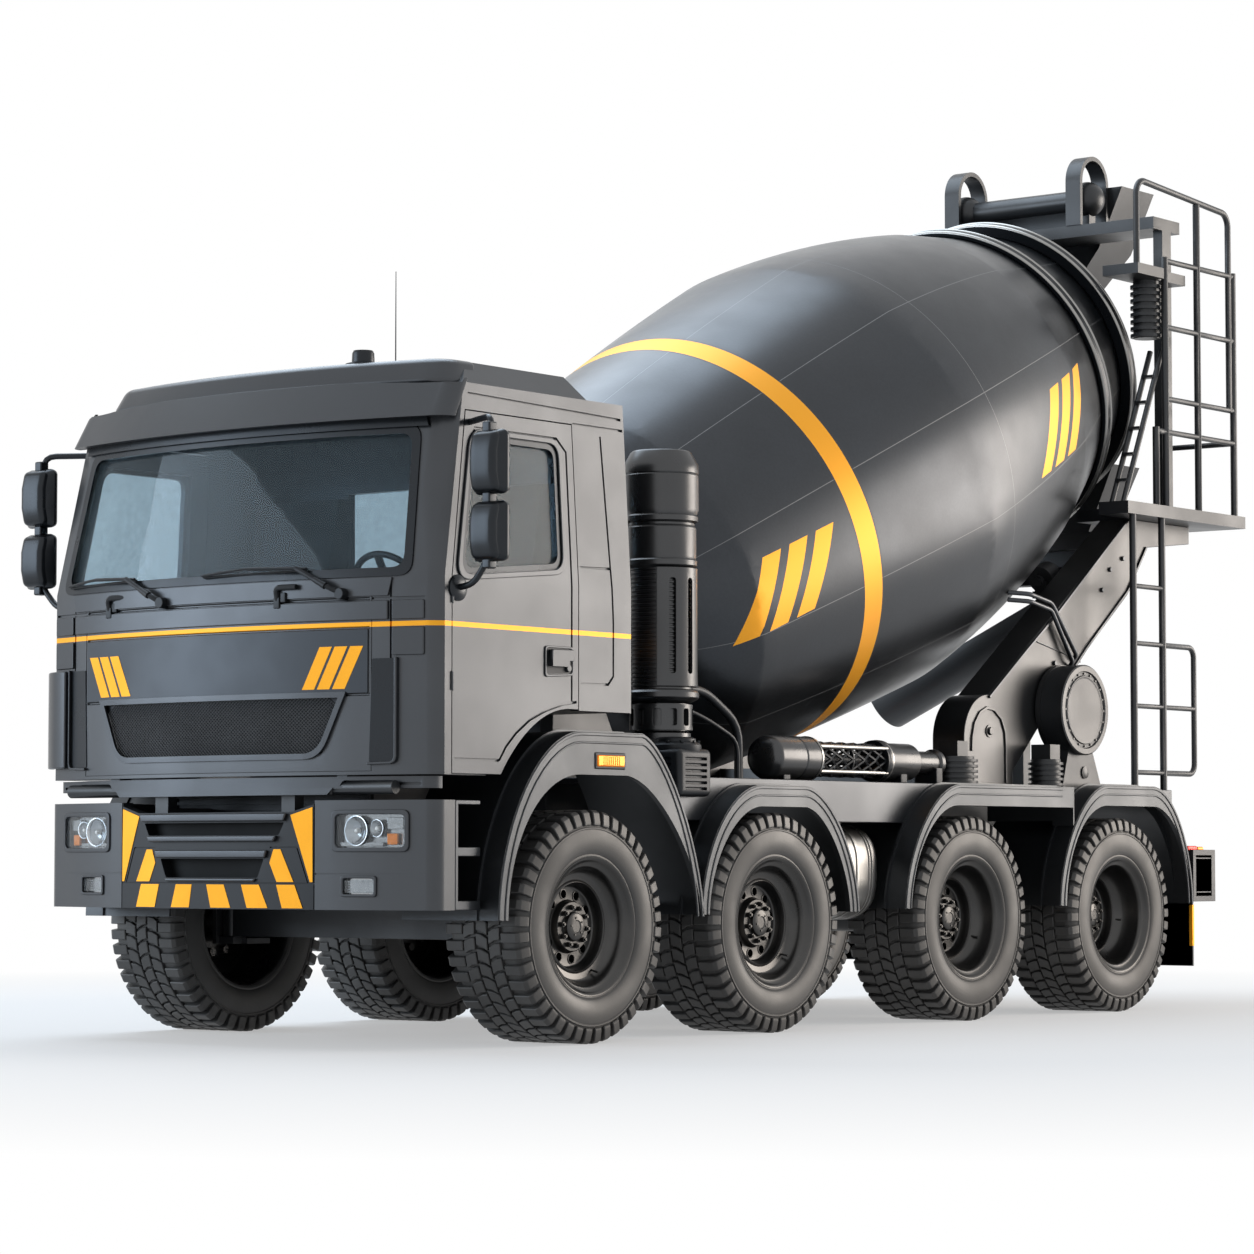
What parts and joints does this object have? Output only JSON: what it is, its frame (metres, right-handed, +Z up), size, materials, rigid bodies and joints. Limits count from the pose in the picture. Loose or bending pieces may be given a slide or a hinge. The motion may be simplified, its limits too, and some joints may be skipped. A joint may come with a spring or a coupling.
{
  "type": "concrete mixer truck",
  "caption": "Four-axle concrete mixer truck with tilting cab, steered front axles, turning drum, rear service platform and folding discharge chute.",
  "frame": {"origin": "centre of the overall bounding box on the ground", "axes": "+Z up, the cab faces -Y, +X is the vehicle's left side"},
  "size_m": [2.98, 7.44, 4.9396],
  "materials": {
    "body_paint": "satin graphite paint, smooth with a soft sheen",
    "drum_paint": "satin graphite paint with a yellow band and thin weld seams",
    "chassis_paint": "satin black chassis paint",
    "trim_black": "fine grained black plastic",
    "fender_grey": "warm grey moulded plastic",
    "glass_dark": "dark tinted clear glass",
    "mirror_glass": "black mirror housing",
    "tyre_rubber": "clean moulded black rubber",
    "rim_steel": "silver painted steel, bright lip",
    "tank_aluminium": "brushed aluminium",
    "steel_bright": "worn bright steel",
    "cast_dark": "dark cast iron",
    "lamp_clear": "clear lamp lens over chrome",
    "seat_cloth": "dark woven cloth"
  },
  "bodies": {
    "chassis": {"frame": "chassis_paint", "front_axles": "chassis_paint", "rear_axles": "chassis_paint", "leaf_springs": "chassis_paint", "engine": "cast_dark", "bumper": "body_paint", "headlamps": "lamp_clear", "cab_steps": "trim_black", "front_fenders": "fender_grey", "rear_fenders": "fender_grey", "side_skirts": "body_paint", "fuel_tanks": "tank_aluminium", "exhaust_stack": "chassis_paint", "hydraulic_unit": "steel_bright", "drum_drive": "chassis_paint", "rear_pedestal": "chassis_paint", "drum_rollers": "cast_dark", "deck_equipment": "chassis_paint", "platform": "chassis_paint", "ladders": "chassis_paint", "top_frame": "chassis_paint", "hopper": "chassis_paint", "rear_end": "chassis_paint"},
    "cab": {"cab_shell": "body_paint", "cab_front": "body_paint", "grille": "trim_black", "cab_glass": "glass_dark", "sun_visor": "trim_black", "seats": "seat_cloth", "dashboard": "trim_black"},
    "door_left_body": {"door_left": "body_paint", "door_glass_left": "glass_dark", "door_mirror_left": "mirror_glass"},
    "door_right_body": {"door_right": "body_paint", "door_glass_right": "glass_dark", "door_mirror_right": "mirror_glass"},
    "knuckle_1_left_body": {"knuckle_1_left": "chassis_paint"},
    "knuckle_1_right_body": {"knuckle_1_right": "chassis_paint"},
    "knuckle_2_left_body": {"knuckle_2_left": "chassis_paint"},
    "knuckle_2_right_body": {"knuckle_2_right": "chassis_paint"},
    "wheel_1_left": {"tyre_1_left": "tyre_rubber", "rim_1_left": "rim_steel"},
    "wheel_1_right": {"tyre_1_right": "tyre_rubber", "rim_1_right": "rim_steel"},
    "wheel_2_left": {"tyre_2_left": "tyre_rubber", "rim_2_left": "rim_steel"},
    "wheel_2_right": {"tyre_2_right": "tyre_rubber", "rim_2_right": "rim_steel"},
    "wheel_3_left": {"tyre_3_left": "tyre_rubber", "rim_3_left": "rim_steel"},
    "wheel_3_right": {"tyre_3_right": "tyre_rubber", "rim_3_right": "rim_steel"},
    "wheel_4_left": {"tyre_4_left": "tyre_rubber", "rim_4_left": "rim_steel"},
    "wheel_4_right": {"tyre_4_right": "tyre_rubber", "rim_4_right": "rim_steel"},
    "drum_body": {"drum": "drum_paint", "drum_rings": "steel_bright"},
    "swivel_body": {"chute_swivel": "chassis_paint"},
    "chute_body": {"discharge_chute": "chassis_paint"}
  },
  "joints": [
    {"name": "steer_1_left", "type": "hinge", "parent": "chassis", "child": "knuckle_1_left_body", "pos_m": [0.95, -2.57, 0.525], "axis": [0, 0, 1], "range_deg": [-30, 30]},
    {"name": "steer_1_right", "type": "hinge", "parent": "chassis", "child": "knuckle_1_right_body", "pos_m": [-0.95, -2.57, 0.525], "axis": [0, 0, 1], "range_deg": [-30, 30]},
    {"name": "steer_2_left", "type": "hinge", "parent": "chassis", "child": "knuckle_2_left_body", "pos_m": [0.95, -1.15, 0.525], "axis": [0, 0, 1], "range_deg": [-19, 19]},
    {"name": "steer_2_right", "type": "hinge", "parent": "chassis", "child": "knuckle_2_right_body", "pos_m": [-0.95, -1.15, 0.525], "axis": [0, 0, 1], "range_deg": [-19, 19]},
    {"name": "wheel_1_left_spin", "type": "hinge", "parent": "knuckle_1_left_body", "child": "wheel_1_left", "pos_m": [1.0525, -2.57, 0.525], "axis": [1, 0, 0], "continuous": true},
    {"name": "wheel_1_right_spin", "type": "hinge", "parent": "knuckle_1_right_body", "child": "wheel_1_right", "pos_m": [-1.0525, -2.57, 0.525], "axis": [1, 0, 0], "continuous": true},
    {"name": "wheel_2_left_spin", "type": "hinge", "parent": "knuckle_2_left_body", "child": "wheel_2_left", "pos_m": [1.0525, -1.15, 0.525], "axis": [1, 0, 0], "continuous": true},
    {"name": "wheel_2_right_spin", "type": "hinge", "parent": "knuckle_2_right_body", "child": "wheel_2_right", "pos_m": [-1.0525, -1.15, 0.525], "axis": [1, 0, 0], "continuous": true},
    {"name": "wheel_3_left_spin", "type": "hinge", "parent": "chassis", "child": "wheel_3_left", "pos_m": [1.0525, 0.58, 0.525], "axis": [1, 0, 0], "continuous": true},
    {"name": "wheel_3_right_spin", "type": "hinge", "parent": "chassis", "child": "wheel_3_right", "pos_m": [-1.0525, 0.58, 0.525], "axis": [1, 0, 0], "continuous": true},
    {"name": "wheel_4_left_spin", "type": "hinge", "parent": "chassis", "child": "wheel_4_left", "pos_m": [1.0525, 2.07, 0.525], "axis": [1, 0, 0], "continuous": true},
    {"name": "wheel_4_right_spin", "type": "hinge", "parent": "chassis", "child": "wheel_4_right", "pos_m": [-1.0525, 2.07, 0.525], "axis": [1, 0, 0], "continuous": true},
    {"name": "cab_tilt", "type": "hinge", "parent": "chassis", "child": "cab", "pos_m": [0, -3.605, 1.14], "axis": [1, 0, 0], "range_deg": [0, 50]},
    {"name": "door_left_swing", "type": "hinge", "parent": "cab", "child": "door_left_body", "pos_m": [1.202, -3.467, 2], "axis": [0, 0, -1], "range_deg": [0, 70]},
    {"name": "door_right_swing", "type": "hinge", "parent": "cab", "child": "door_right_body", "pos_m": [-1.202, -3.467, 2], "axis": [0, 0, 1], "range_deg": [0, 70]},
    {"name": "drum_spin", "type": "hinge", "parent": "chassis", "child": "drum_body", "pos_m": [0, -0.171, 2.428], "axis": [0, 0.9237, 0.3832], "continuous": true},
    {"name": "chute_swing", "type": "hinge", "parent": "chassis", "child": "swivel_body", "pos_m": [0, 3.525, 1.95], "axis": [0, 0, -1], "range_deg": [0, 180]},
    {"name": "chute_lift", "type": "hinge", "parent": "swivel_body", "child": "chute_body", "pos_m": [0, 3.525, 2.15], "axis": [0, 1, 0], "range_deg": [-10, 15]}
  ],
  "couplings": [
    {"joint": "steer_1_right", "follows": "steer_1_left", "ratio": 1},
    {"joint": "steer_2_left", "follows": "steer_1_left", "ratio": 0.63},
    {"joint": "steer_2_right", "follows": "steer_1_left", "ratio": 0.63}
  ]
}
